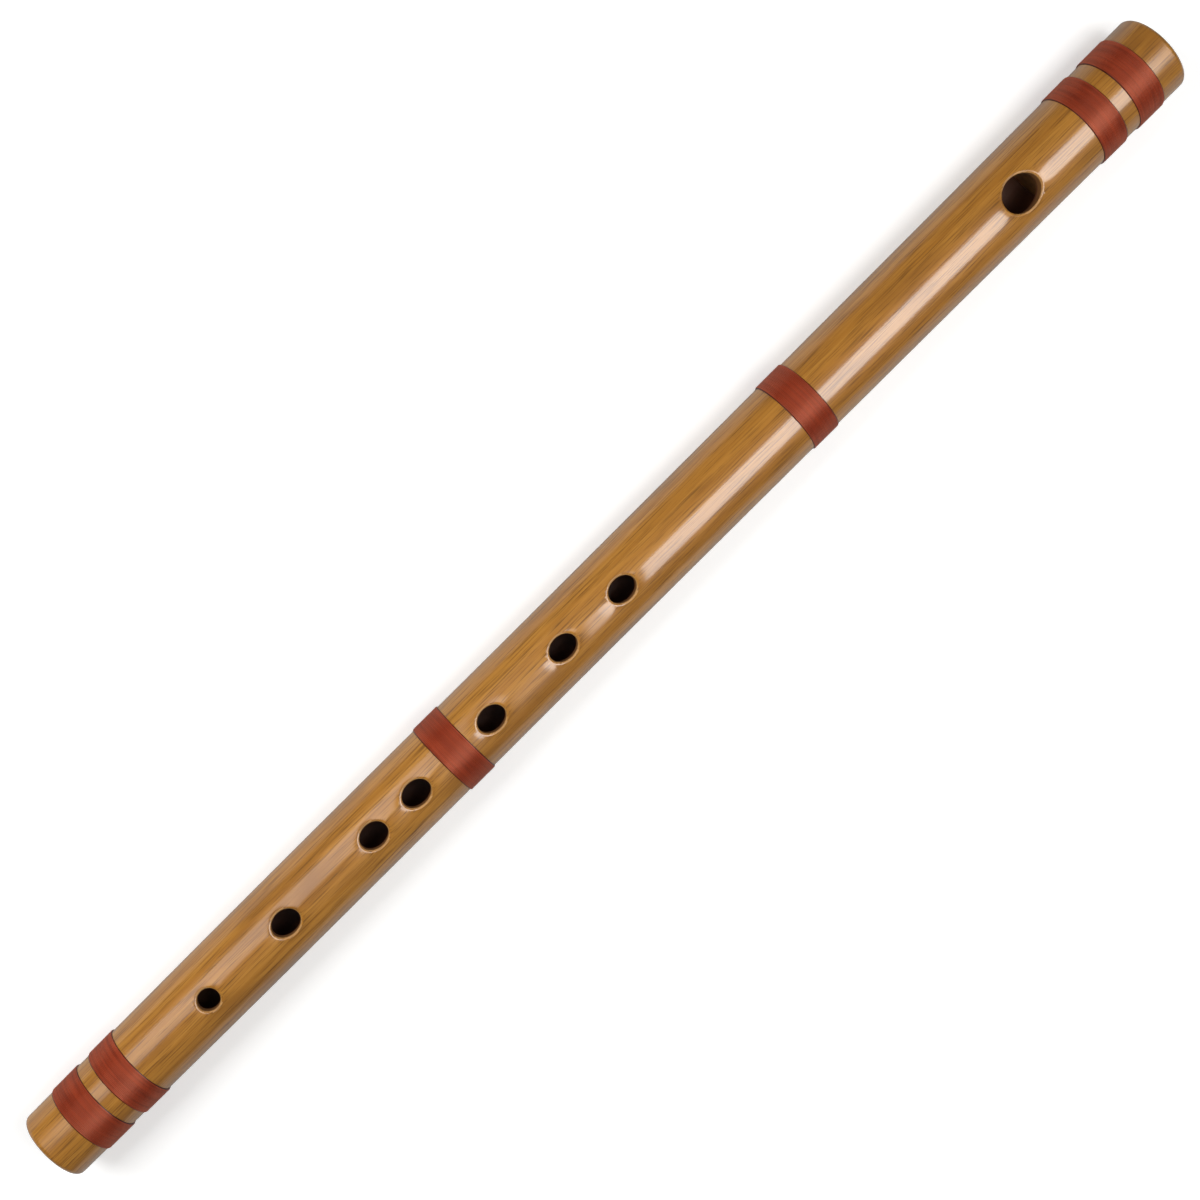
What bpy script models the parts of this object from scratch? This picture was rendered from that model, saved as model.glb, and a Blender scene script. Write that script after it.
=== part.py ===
"""A shinobue: a bamboo side-blown flute with seven finger holes and six thread bindings.

Everything is set out along the bore: a place "along" is a distance from the foot end towards the
head, and a radius is counted from the bore's axis. An empty then lays the flute on its bindings,
so that the world's z = 0 is the surface under it, +X runs from foot to head and the holes face +Z.
"""

import math
from dataclasses import dataclass

import bmesh
import bpy
import numpy as np
from mathutils import Vector

MM = 0.001


@dataclass(frozen=True)
class Hole:
    """An oval hole: its run from the last hole's middle, its length along the bore, its width."""

    run: float
    length: float
    width: float


@dataclass(frozen=True)
class Binding:
    """A thread binding: its name, and where its two edges lie along the bore."""

    name: str
    start: float
    end: float


# The bamboo. The sounding length runs from the foot end to the middle of the blow-hole.
SOUNDING_LENGTH = 376.4 * MM
HEAD_LENGTH = 59.6 * MM
BORE_DIAMETER = 15.4 * MM
FOOT_DIAMETER = 21.6 * MM
FIRST_HOLE_DIAMETER = 22.45 * MM
LAST_HOLE_DIAMETER = 22.8 * MM
BLOW_HOLE_DIAMETER = 23.92 * MM
HEAD_DIAMETER = 24.58 * MM
END_ROUNDING = 1.5 * MM
BORE_EDGE_CHAMFER = 0.35 * MM

# The finger holes, from the foot towards the head. The first run starts at the foot end.
FINGER_HOLES = (
    Hole(60.5 * MM, 6.5 * MM, 6.2 * MM),
    Hole(29.3 * MM, 8.8 * MM, 7.1 * MM),
    Hole(33.6 * MM, 8.7 * MM, 7.1 * MM),
    Hole(16.3 * MM, 9.0 * MM, 7.0 * MM),
    Hole(28.9 * MM, 8.9 * MM, 6.9 * MM),
    Hole(27.7 * MM, 8.9 * MM, 6.8 * MM),
    Hole(22.9 * MM, 8.8 * MM, 6.8 * MM),
)
BLOW_HOLE_LENGTH = 12.5 * MM
BLOW_HOLE_WIDTH = 10.3 * MM
HOLE_EDGE_ROUNDING = 0.7 * MM

# The line of holes winds a little round the bamboo, in radians for each metre along it, and faces
# straight up at the fifth finger hole from the foot.
HOLE_LINE_TWIST = math.radians(9.8)
UPRIGHT_HOLE = 4

# The stopper behind the blow-hole: a cork, with a skin of wax on the face that ends the bore.
STOPPER_SETBACK = 1.6 * MM
WAX_THICKNESS = 2.5 * MM
CORK_LENGTH = 14.0 * MM
CORK_EDGE_CHAMFER = 0.8 * MM

# The bindings' widths, and the bare bamboo between them and beside them.
FOOT_END_WIDTH = 9.5 * MM
FOOT_INNER_WIDTH = 9.0 * MM
HAND_WIDTH = 9.45 * MM
UPPER_WIDTH = 9.6 * MM
HEAD_INNER_WIDTH = 9.3 * MM
HEAD_END_WIDTH = 9.7 * MM
FOOT_MARGIN = 10.9 * MM
FOOT_PAIR_SPACE = 4.45 * MM
HEAD_MARGIN = 9.1 * MM
HEAD_PAIR_SPACE = 5.15 * MM
UPPER_TO_BLOW_HOLE = 80.5 * MM
HAND_BINDING_SHIFT = 1.05 * MM

# The winding: a cord laid over a plain core, both in a shallow seat scraped into the bamboo.
BINDING_PROUD = 0.49 * MM
SEAT_DEPTH = 0.85 * MM
CORD_DIAMETER = 0.85 * MM
CORD_TURNS = 4
RIDGE_HEIGHT = 0.36 * MM
CORD_INSET = 0.1 * MM
CORD_END_BEND = 0.55 * MM
CORD_END_POINT = 4

# The clearance kept between pieces that touch on the real flute, and the facets of round shapes.
TOUCH_GAP = 0.3 * MM
TUBE_FACETS = 40
HOLE_FACETS = 24
LOOP_POINTS = 24
CORD_SIDES = 6
ROUNDING_STEPS = 3
BEND_STEPS = 2
TAPER_RUN = 45.0 * MM
MERGE_DISTANCE = 0.002 * MM

# Each material's name, sRGB colour and roughness.
BAMBOO_LOOK = ("varnished_bamboo", 0xB08248, 0.28)
THREAD_LOOK = ("lacquered_red_thread", 0x8E2A1C, 0.38)
WAX_LOOK = ("beeswax", 0x8A6034, 0.45)
CORK_LOOK = ("cork", 0xA97C50, 0.85)

TUBE_LENGTH = SOUNDING_LENGTH + HEAD_LENGTH
BORE_RADIUS = BORE_DIAMETER / 2
CORD_RADIUS = CORD_DIAMETER / 2
CORD_FLAT_RADIUS = CORD_RADIUS * math.cos(math.pi / CORD_SIDES)
FLAT_DEPTH = CORD_DIAMETER / 10
HOLE_RIM_LIFT = HOLE_EDGE_ROUNDING / 8
UNBORED_DEPTH = 2 * SEAT_DEPTH
HOLE_PLACES = tuple(float(place) for place in np.cumsum([hole.run for hole in FINGER_HOLES]))
BAMBOO_DIAMETERS = (
    (0.0, FOOT_DIAMETER),
    (HOLE_PLACES[0], FIRST_HOLE_DIAMETER),
    (HOLE_PLACES[-1], LAST_HOLE_DIAMETER),
    (SOUNDING_LENGTH, BLOW_HOLE_DIAMETER),
    (TUBE_LENGTH, HEAD_DIAMETER),
)


def bamboo_radius(along):
    """Return the bamboo's outer radius on the smooth curve through its named diameters."""
    places, diameters = np.array(BAMBOO_DIAMETERS).T
    slopes = np.gradient(diameters, places)
    first = int(np.clip(np.searchsorted(places, along) - 1, 0, len(places) - 2))
    span = places[first + 1] - places[first]
    t = (along - places[first]) / span
    diameter = (
        (2 * t**3 - 3 * t**2 + 1) * diameters[first]
        + (t**3 - 2 * t**2 + t) * span * slopes[first]
        + (3 * t**2 - 2 * t**3) * diameters[first + 1]
        + (t**3 - t**2) * span * slopes[first + 1]
    )
    return float(diameter) / 2


def lay_out_bindings():
    """Return the six bindings, placed from the ends, the finger holes and the blow-hole."""
    foot_inner = FOOT_MARGIN + FOOT_END_WIDTH + FOOT_PAIR_SPACE
    between_hands = (HOLE_PLACES[UPRIGHT_HOLE - 1] + HOLE_PLACES[UPRIGHT_HOLE]) / 2
    hand = between_hands + HAND_BINDING_SHIFT - HAND_WIDTH / 2
    upper_end = SOUNDING_LENGTH - UPPER_TO_BLOW_HOLE
    head_end = TUBE_LENGTH - HEAD_MARGIN
    head_inner_end = head_end - HEAD_END_WIDTH - HEAD_PAIR_SPACE
    return (
        Binding("foot_end_binding", FOOT_MARGIN, FOOT_MARGIN + FOOT_END_WIDTH),
        Binding("foot_inner_binding", foot_inner, foot_inner + FOOT_INNER_WIDTH),
        Binding("hand_binding", hand, hand + HAND_WIDTH),
        Binding("upper_binding", upper_end - UPPER_WIDTH, upper_end),
        Binding("head_inner_binding", head_inner_end - HEAD_INNER_WIDTH, head_inner_end),
        Binding("head_end_binding", head_end - HEAD_END_WIDTH, head_end),
    )


def resting_place(bindings):
    """Return the slope of the bore when the flute lies on its bindings, and its foot's height.

    The flute rests on two bindings, one on each side of its middle: the pair whose common line
    under the flute is the furthest from the axis there, which is the line that no other crosses.
    """
    ridges = []
    for binding in bindings:
        for point in cord_route(binding):
            if point.x > 0.0 and abs(point.y) < MERGE_DISTANCE:
                ridges.append((point.z, point.x + CORD_FLAT_RADIUS))
    middle = TUBE_LENGTH / 2
    depth, rise = 0.0, 0.0
    for foot_along, foot_radius in (ridge for ridge in ridges if ridge[0] < middle):
        for head_along, head_radius in (ridge for ridge in ridges if ridge[0] >= middle):
            pair_rise = (head_radius - foot_radius) / (head_along - foot_along)
            pair_depth = foot_radius + pair_rise * (middle - foot_along)
            if pair_depth > depth:
                depth, rise = pair_depth, pair_rise
    slope = math.atan(rise)
    height = max(radius * math.cos(slope) - along * math.sin(slope) for along, radius in ridges)
    return slope, height - FLAT_DEPTH


def clear_scene():
    """Remove every object that the scene starts with."""
    for thing in list(bpy.data.objects):
        bpy.data.objects.remove(thing, do_unlink=True)


def new_collection(name):
    """Return a new collection linked to the scene."""
    collection = bpy.data.collections.new(name)
    bpy.context.scene.collection.children.link(collection)
    return collection


def linear(channel):
    """Return the linear value of one sRGB channel from 0 to 255."""
    value = channel / 255
    return value / 12.92 if value <= 0.04045 else ((value + 0.055) / 1.055) ** 2.4


def new_material(name, colour, roughness):
    """Return a Principled material of one sRGB hex colour."""
    material = bpy.data.materials.new(name)
    material.use_nodes = True
    shader = material.node_tree.nodes["Principled BSDF"]
    channels = (colour >> 16 & 255, colour >> 8 & 255, colour & 255)
    shader.inputs["Base Color"].default_value = (*map(linear, channels), 1.0)
    shader.inputs["Roughness"].default_value = roughness
    return material


def turned(name, profile, closed, facets=TUBE_FACETS, first_angle=0.0):
    """Return an object turned round its own Z axis from a profile of (radius, height) points.

    The profile runs down the outer side. A closed one comes back up the inner side, and an open
    one starts and ends on the axis.
    """
    mesh = bpy.data.meshes.new(name)
    form = bmesh.new()
    side, turn = math.cos(first_angle), math.sin(first_angle)
    verts = [form.verts.new((radius * side, radius * turn, height)) for radius, height in profile]
    for first, second in zip(verts, verts[1:]):
        form.edges.new((first, second))
    if closed:
        form.edges.new((verts[-1], verts[0]))
    form.to_mesh(mesh)
    form.free()
    thing = bpy.data.objects.new(name, mesh)
    screw = thing.modifiers.new("turn", "SCREW")
    screw.axis = "Z"
    screw.steps = facets
    screw.render_steps = facets
    screw.use_merge_vertices = True
    screw.merge_threshold = MERGE_DISTANCE
    screw.use_smooth_shade = True
    return thing


def set_on_bore(thing, collection, flute):
    """Put a turned object in a collection and on the flute, its own +Z along the bore."""
    collection.objects.link(thing)
    thing.parent = flute
    thing.rotation_euler = (0.0, math.radians(90), 0.0)


def hide_cutter(thing):
    """Mark an object as a cutter: drawn as wire and left out of the finished part."""
    thing.hide_render = True
    thing.display_type = "WIRE"


def frozen_mesh(thing):
    """Return a plain mesh of an object as its modifiers leave it, and remove the object."""
    bpy.context.view_layer.update()
    evaluated = thing.evaluated_get(bpy.context.evaluated_depsgraph_get())
    mesh = bpy.data.meshes.new_from_object(evaluated)
    bpy.data.objects.remove(thing, do_unlink=True)
    return mesh


def add_boolean(thing, operand, operation):
    """Cut an object with another one, or join the two."""
    boolean = thing.modifiers.new(f"{operation.lower()} {operand.name}", "BOOLEAN")
    boolean.operation = operation
    boolean.solver = "EXACT"
    boolean.object = operand


def arc(centre, radius, start, end, steps):
    """Return points on an arc of a profile, both ends included, with angles in degrees."""
    angles = [math.radians(start + (end - start) * step / steps) for step in range(steps + 1)]
    return [(centre[0] + radius * math.cos(a), centre[1] + radius * math.sin(a)) for a in angles]


def bare_run(low, high):
    """Return the profile points strictly between two places on the bare bamboo."""
    steps = math.ceil((high - low) / TAPER_RUN)
    places = [low + (high - low) * step / steps for step in range(1, steps)]
    return [(bamboo_radius(along), along) for along in places]


def tube_profile(bindings):
    """Return the bamboo's closed profile, with rounded ends and a seat under each binding."""
    outer = []
    last = END_ROUNDING
    for binding in bindings:
        low, high = binding.start - TOUCH_GAP, binding.end + TOUCH_GAP
        outer += bare_run(last, low)
        outer += [
            (bamboo_radius(low), low),
            (bamboo_radius(low) - SEAT_DEPTH, low),
            (bamboo_radius(high) - SEAT_DEPTH, high),
            (bamboo_radius(high), high),
        ]
        last = high
    outer += bare_run(last, TUBE_LENGTH - END_ROUNDING)
    head_corner = (bamboo_radius(TUBE_LENGTH) - END_ROUNDING, TUBE_LENGTH - END_ROUNDING)
    foot_corner = (bamboo_radius(0.0) - END_ROUNDING, END_ROUNDING)
    bore_edge = BORE_RADIUS + BORE_EDGE_CHAMFER
    return [
        (bore_edge, TUBE_LENGTH),
        *arc(head_corner, END_ROUNDING, 90, 0, ROUNDING_STEPS),
        *reversed(outer),
        *arc(foot_corner, END_ROUNDING, 0, -90, ROUNDING_STEPS),
        (bore_edge, 0.0),
        (BORE_RADIUS, BORE_EDGE_CHAMFER),
        (BORE_RADIUS, TUBE_LENGTH - BORE_EDGE_CHAMFER),
    ]


def make_hole_cutter(name, along, length, width, cutters, flute):
    """Return a cutter for one oval hole whose softened edge follows the bamboo's round surface.

    It is turned as a round plug with a flared rim, drawn out along the bore to an oval, and then
    laid over the bamboo, so that every point drops by as much as the surface does there.
    """
    flare = width / 2 + HOLE_EDGE_ROUNDING
    middle = HOLE_RIM_LIFT - HOLE_EDGE_ROUNDING
    rim = arc((flare, middle), HOLE_EDGE_ROUNDING, 90, 180, ROUNDING_STEPS)
    radius = bamboo_radius(along)
    bottom = BORE_RADIUS / 2 - radius
    profile = [(0.0, width), (flare, width), *rim, (width / 2, bottom), (0.0, bottom)]
    plug = turned(name, profile, closed=False, facets=HOLE_FACETS)
    cutters.objects.link(plug)
    mesh = frozen_mesh(plug)
    for vert in mesh.vertices:
        vert.co.x *= length / width
        vert.co.z += math.sqrt(radius**2 - vert.co.y**2)
    cutter = bpy.data.objects.new(name, mesh)
    cutters.objects.link(cutter)
    cutter.parent = flute
    cutter.location = (along, 0.0, 0.0)
    turn = HOLE_LINE_TWIST * (along - HOLE_PLACES[UPRIGHT_HOLE])
    cutter.rotation_euler = (turn, 0.0, 0.0)
    hide_cutter(cutter)
    return cutter


def make_tube(bindings, parts, cutters, flute):
    """Make the bamboo tube, bored from end to end, with its finger holes and its blow-hole."""
    tube = turned("bamboo_tube", tube_profile(bindings), closed=True)
    set_on_bore(tube, parts, flute)
    tube.data.materials.append(new_material(*BAMBOO_LOOK))
    for number, (hole, along) in enumerate(zip(FINGER_HOLES, HOLE_PLACES), start=1):
        name = f"finger_hole_{number}_cutter"
        cutter = make_hole_cutter(name, along, hole.length, hole.width, cutters, flute)
        add_boolean(tube, cutter, "DIFFERENCE")
    cutter = make_hole_cutter(
        "blow_hole_cutter", SOUNDING_LENGTH, BLOW_HOLE_LENGTH, BLOW_HOLE_WIDTH, cutters, flute
    )
    add_boolean(tube, cutter, "DIFFERENCE")


def make_stopper(parts, flute):
    """Make the cork that closes the bore behind the blow-hole, and the wax on its face."""
    radius = BORE_RADIUS - TOUCH_GAP
    wax_start = SOUNDING_LENGTH + BLOW_HOLE_LENGTH / 2 + STOPPER_SETBACK
    wax_end = wax_start + WAX_THICKNESS
    wax = turned(
        "stopper_wax",
        [(0.0, wax_end), (radius, wax_end), (radius, wax_start), (0.0, wax_start)],
        closed=False,
    )
    set_on_bore(wax, parts, flute)
    wax.data.materials.append(new_material(*WAX_LOOK))
    low = wax_end + TOUCH_GAP
    high = low + CORK_LENGTH
    face = radius - CORK_EDGE_CHAMFER
    profile = [
        (0.0, high),
        (face, high),
        (radius, high - CORK_EDGE_CHAMFER),
        (radius, low + CORK_EDGE_CHAMFER),
        (face, low),
        (0.0, low),
    ]
    cork = turned("stopper_cork", profile, closed=False)
    set_on_bore(cork, parts, flute)
    cork.data.materials.append(new_material(*CORK_LOOK))


def cord_route(binding):
    """Return the winding's route: even turns round the bamboo, both ends tucked into the core.

    The points are those of a turned object: round its own Z axis, which lies along the bore, with
    the flute's underside at +X. Each turn has a point there, where the flute lies on it, and the
    cord's flats are as far out as the binding stands proud.
    """
    inset = CORD_RADIUS + CORD_INSET
    start, end = binding.start + inset, binding.end - inset
    count = CORD_TURNS * LOOP_POINTS
    route = []
    for step in range(count + 1):
        along = start + (end - start) * step / count
        angle = 2 * math.pi * (CORD_END_POINT + step) / LOOP_POINTS
        radius = bamboo_radius(along) + BINDING_PROUD - CORD_FLAT_RADIUS
        route.append(Vector((radius * math.cos(angle), radius * math.sin(angle), along)))
    first_tail = tucked_end(route[0], (route[0] - route[1]).normalized())
    last_tail = tucked_end(route[-1], (route[-1] - route[-2]).normalized())
    return first_tail[::-1] + route + last_tail


def tucked_end(point, forward):
    """Return the points that turn a cord's end inwards, then run straight at the bore's axis."""
    inward = -Vector((point.x, point.y, 0.0)).normalized()
    tail = []
    for step in range(1, BEND_STEPS + 1):
        angle = math.radians(90) * step / BEND_STEPS
        along_cord = forward * CORD_END_BEND * math.sin(angle)
        into_core = inward * CORD_END_BEND * (1 - math.cos(angle))
        tail.append(point + along_cord + into_core)
    tail.append(tail[-1] + inward * CORD_DIAMETER)
    return tail


def least_gap(route):
    """Return the least clear gap between a cord's turns, from each point to each far stretch."""
    points = np.array(route)
    starts, runs = points[:-1], np.diff(points, axis=0)
    least = math.inf
    for index, point in enumerate(points):
        share = np.einsum("ij,ij->i", point - starts, runs) / np.einsum("ij,ij->i", runs, runs)
        nearest = starts + runs * np.clip(share, 0.0, 1.0)[:, None]
        distances = np.linalg.norm(nearest - point, axis=1)
        far = np.abs(np.arange(len(runs)) - index) > LOOP_POINTS // 2
        least = min(least, distances[far].min())
    return least - CORD_DIAMETER


def make_cord(name, route, cutters, flute):
    """Return a binding's cord as one unbroken closed mesh tube, with a flat side outwards."""
    curve = bpy.data.curves.new(name, "CURVE")
    curve.dimensions = "3D"
    curve.twist_mode = "Z_UP"
    curve.bevel_depth = CORD_RADIUS
    curve.bevel_resolution = (CORD_SIDES - 4) // 2
    curve.use_fill_caps = True
    spline = curve.splines.new("POLY")
    spline.points.add(len(route) - 1)
    for spline_point, point in zip(spline.points, route):
        spline_point.co = (*point, 1.0)
        spline_point.tilt = math.pi / CORD_SIDES
    guide = bpy.data.objects.new(name, curve)
    cutters.objects.link(guide)
    mesh = frozen_mesh(guide)
    bpy.data.curves.remove(curve)
    form = bmesh.new()
    form.from_mesh(mesh)
    bmesh.ops.remove_doubles(form, verts=form.verts, dist=MERGE_DISTANCE)
    form.to_mesh(mesh)
    form.free()
    cord = bpy.data.objects.new(name, mesh)
    set_on_bore(cord, cutters, flute)
    hide_cutter(cord)
    return cord


def make_binding(binding, material, surface, parts, cutters, flute):
    """Make one binding: its core joined to its cord, bored to its seat, and flat where it lies."""
    route = cord_route(binding)
    print(f"{binding.name}: least gap between turns {least_gap(route) / MM:.2f} mm")
    cord = make_cord(f"{binding.name}_cord", route, cutters, flute)
    core_rise = BINDING_PROUD - RIDGE_HEIGHT
    start_radius, end_radius = bamboo_radius(binding.start), bamboo_radius(binding.end)
    core_profile = [
        (end_radius + core_rise, binding.end),
        (start_radius + core_rise, binding.start),
        (start_radius - UNBORED_DEPTH, binding.start),
        (end_radius - UNBORED_DEPTH, binding.end),
    ]
    core = turned(binding.name, core_profile, closed=True, facets=LOOP_POINTS)
    set_on_bore(core, parts, flute)
    core.data.materials.append(material)
    low, high = binding.start - CORD_DIAMETER, binding.end + CORD_DIAMETER
    half_facet = math.pi / LOOP_POINTS
    low_radius = (bamboo_radius(low) - SEAT_DEPTH + TOUCH_GAP) / math.cos(half_facet)
    high_radius = (bamboo_radius(high) - SEAT_DEPTH + TOUCH_GAP) / math.cos(half_facet)
    bore_profile = [(0.0, high), (high_radius, high), (low_radius, low), (0.0, low)]
    bore_name = f"{binding.name}_bore"
    bore = turned(bore_name, bore_profile, False, facets=LOOP_POINTS, first_angle=half_facet)
    set_on_bore(bore, cutters, flute)
    hide_cutter(bore)
    add_boolean(core, cord, "UNION")
    add_boolean(core, bore, "DIFFERENCE")
    add_boolean(core, surface, "DIFFERENCE")
    weld = core.modifiers.new("weld", "WELD")
    weld.merge_threshold = MERGE_DISTANCE


def make_surface_cutter(cutters):
    """Return a block under z = 0, which cuts the bindings flat where the flute lies."""
    bpy.ops.mesh.primitive_cube_add(size=1.0, location=(0.0, 0.0, -HEAD_DIAMETER / 2))
    block = bpy.context.object
    block.name = "surface_cutter"
    block.scale = (TUBE_LENGTH, 2 * HEAD_DIAMETER, HEAD_DIAMETER)
    for collection in list(block.users_collection):
        collection.objects.unlink(block)
    cutters.objects.link(block)
    hide_cutter(block)
    return block


def main():
    """Make every piece of the flute, lying on its bindings."""
    clear_scene()
    parts = new_collection("shinobue")
    cutters = new_collection("cutters")
    bindings = lay_out_bindings()
    slope, foot_height = resting_place(bindings)
    flute = bpy.data.objects.new("flute_at_rest", None)
    parts.objects.link(flute)
    flute.rotation_euler = (0.0, -slope, 0.0)
    flute.location = (-TUBE_LENGTH * math.cos(slope) / 2, 0.0, foot_height)
    make_tube(bindings, parts, cutters, flute)
    make_stopper(parts, flute)
    surface = make_surface_cutter(cutters)
    thread = new_material(*THREAD_LOOK)
    for binding in bindings:
        make_binding(binding, thread, surface, parts, cutters, flute)
    bpy.context.view_layer.update()


main()
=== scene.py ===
"""Looks for a shinobue, a bamboo side-blown flute with seven finger holes and six thread bindings.

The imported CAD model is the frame. The bamboo, the six thread windings and the stopper are built again
here in more detail, each in the space that its CAD solid holds. Places along the flute are distances
from its foot end, and radii are counted from the bore's axis. All sizes are in metres.
"""

import logging
import math
from dataclasses import dataclass, field
from enum import Enum
from typing import Any, Iterable, Sequence

import bmesh
import bpy
import numpy as np
from mathutils import Matrix, Vector


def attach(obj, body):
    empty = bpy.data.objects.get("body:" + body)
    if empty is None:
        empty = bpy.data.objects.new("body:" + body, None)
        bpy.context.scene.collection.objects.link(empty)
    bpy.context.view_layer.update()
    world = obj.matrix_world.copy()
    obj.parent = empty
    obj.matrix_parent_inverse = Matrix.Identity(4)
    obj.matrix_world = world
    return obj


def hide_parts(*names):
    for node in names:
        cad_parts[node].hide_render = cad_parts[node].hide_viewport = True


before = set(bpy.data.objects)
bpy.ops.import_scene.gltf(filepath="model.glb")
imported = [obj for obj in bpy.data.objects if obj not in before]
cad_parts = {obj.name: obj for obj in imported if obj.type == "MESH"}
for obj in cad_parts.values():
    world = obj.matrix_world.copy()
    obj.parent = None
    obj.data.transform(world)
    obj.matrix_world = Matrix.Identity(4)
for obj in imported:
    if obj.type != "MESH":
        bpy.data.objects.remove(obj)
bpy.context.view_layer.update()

MM = 0.001
BODY = "root"
MERGE_DISTANCE = 0.001 * MM
WALL_DEPTH = "wall_depth"
log = logging.getLogger("shinobue")

Point = tuple[float, float]


class Slot(Enum):
    """The record's material slots."""

    BAMBOO = "bamboo"
    THREAD = "thread"
    CORK = "cork"
    WAX = "wax"


class Lights(Enum):
    """What a lamp is there for: the shine on the flute, or the plain light that shows its colours."""

    SHINE = "shine"
    COLOUR = "colour"


class Turn(Enum):
    """Which way a winding goes round, seen from the foot."""

    CLOCKWISE = False
    ANTICLOCKWISE = True


def linear(colour: int) -> tuple[float, float, float, float]:
    """Turn an sRGB hex colour to linear values.

    Args:
        colour: The colour as 0xRRGGBB.

    Returns:
        Linear red, green and blue, with an alpha of 1.
    """
    channels = (colour >> 16 & 255, colour >> 8 & 255, colour & 255)
    values = [channel / 255 for channel in channels]
    red, green, blue = (v / 12.92 if v <= 0.04045 else ((v + 0.055) / 1.055) ** 2.4 for v in values)
    return red, green, blue, 1.0


def add_node(tree: bpy.types.NodeTree, kind: str, settings: dict[str, Any], inputs: dict[str, Any]):
    """Add a node with its settings, and set or link its inputs.

    Args:
        tree: The tree that gets the node.
        kind: The node's type name.
        settings: Values of the node's own properties.
        inputs: Input names or identifiers, each with a value or with the socket to link from.

    Returns:
        The new node.
    """
    node = tree.nodes.new(kind)
    for name, value in settings.items():
        setattr(node, name, value)
    for name, value in inputs.items():
        socket = next(s for s in node.inputs if s.enabled and name in (s.identifier, s.name))
        if isinstance(value, bpy.types.NodeSocket):
            tree.links.new(value, socket)
        else:
            socket.default_value = value
    return node


@dataclass(frozen=True)
class Bore:
    """The bore's axis as the flute lies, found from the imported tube's two end faces."""

    foot: Vector
    head: Vector

    @classmethod
    def of_tube(cls, tube: bpy.types.Object) -> "Bore":
        """Find the axis from the points of a packed tube's end faces.

        Args:
            tube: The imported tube, lengthwise along X.

        Returns:
            The axis from the foot end's middle to the head end's.
        """
        end_depth = 0.1 * MM
        points = np.array([vert.co for vert in tube.data.vertices])
        along = points[:, 0]
        ends = []
        for face in (points[along < along.min() + end_depth], points[along > along.max() - end_depth]):
            ends.append(Vector((face.min(axis=0) + face.max(axis=0)) / 2))
        return cls(foot=ends[0], head=ends[1])

    @property
    def forward(self) -> Vector:
        """The direction from foot to head."""
        return (self.head - self.foot).normalized()

    @property
    def up(self) -> Vector:
        """The direction square to the axis that leans least from +Z."""
        return self.forward.cross(Vector((0.0, 1.0, 0.0)))

    @property
    def slope(self) -> float:
        """How steeply the flute lies, in radians, with its head end higher."""
        return math.asin(self.forward.z)

    @property
    def length(self) -> float:
        """The length between the two end faces."""
        return (self.head - self.foot).length

    def place(self, along: float) -> Matrix:
        """Give the matrix that lays a turned shape on the bore.

        Args:
            along: Where the shape's own origin goes, from the foot end.

        Returns:
            A matrix that takes own +Z along the bore, own +X down and own +Y across.
        """
        axes = Matrix((-self.up, Vector((0.0, 1.0, 0.0)), self.forward)).transposed().to_4x4()
        return Matrix.Translation(self.foot + self.forward * along) @ axes


@dataclass(frozen=True)
class Hole:
    """An oval hole: its middle's place along the flute, its length along it and its width."""

    name: str
    along: float
    length: float
    width: float


def streaks(
    tree: bpy.types.NodeTree, place: bpy.types.NodeSocket, length: float, width: float, detail: float
) -> bpy.types.NodeSocket:
    """Add noise drawn out along the flute.

    Args:
        tree: The material's tree.
        place: The place to read the noise at.
        length: A streak's length along the flute.
        width: Its width.
        detail: How many finer layers the noise has.

    Returns:
        The noise's value, from 0 to 1.
    """
    scale = (1 / length, 1 / width, 1 / width)
    stretched = add_node(tree, "ShaderNodeMapping", {}, {"Vector": place, "Scale": scale})
    inputs = {"Vector": stretched.outputs["Vector"], "Scale": 1.0, "Detail": detail}
    return add_node(tree, "ShaderNodeTexNoise", {}, inputs).outputs["Fac"]


def mixed(
    tree: bpy.types.NodeTree, value: bpy.types.NodeSocket, span: Point, low: Any, high: Any
) -> bpy.types.NodeSocket:
    """Blend from one colour to another as a value crosses a span.

    Args:
        tree: The material's tree.
        value: What decides the blend.
        span: Where the blend starts and ends.
        low: The colour or colour socket under the span.
        high: The colour or colour socket over it.

    Returns:
        The colour.
    """
    limits = {"Value": value, "From Min": span[0], "From Max": span[1]}
    share = add_node(tree, "ShaderNodeMapRange", {}, limits).outputs["Result"]
    colours = {"Factor": share, "A": low, "B": high}
    mix = add_node(tree, "ShaderNodeMix", {"data_type": "RGBA"}, colours)
    return next(socket for socket in mix.outputs if socket.enabled)


def flute_place(tree: bpy.types.NodeTree, slope: float) -> bpy.types.NodeSocket:
    """Give the place on the flute, turned so that its first axis runs along the sloping bore."""
    place = add_node(tree, "ShaderNodeTexCoord", {}, {}).outputs["Object"]
    inputs = {"Vector": place, "Rotation": (0.0, slope, 0.0)}
    return add_node(tree, "ShaderNodeMapping", {}, inputs).outputs["Vector"]


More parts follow.
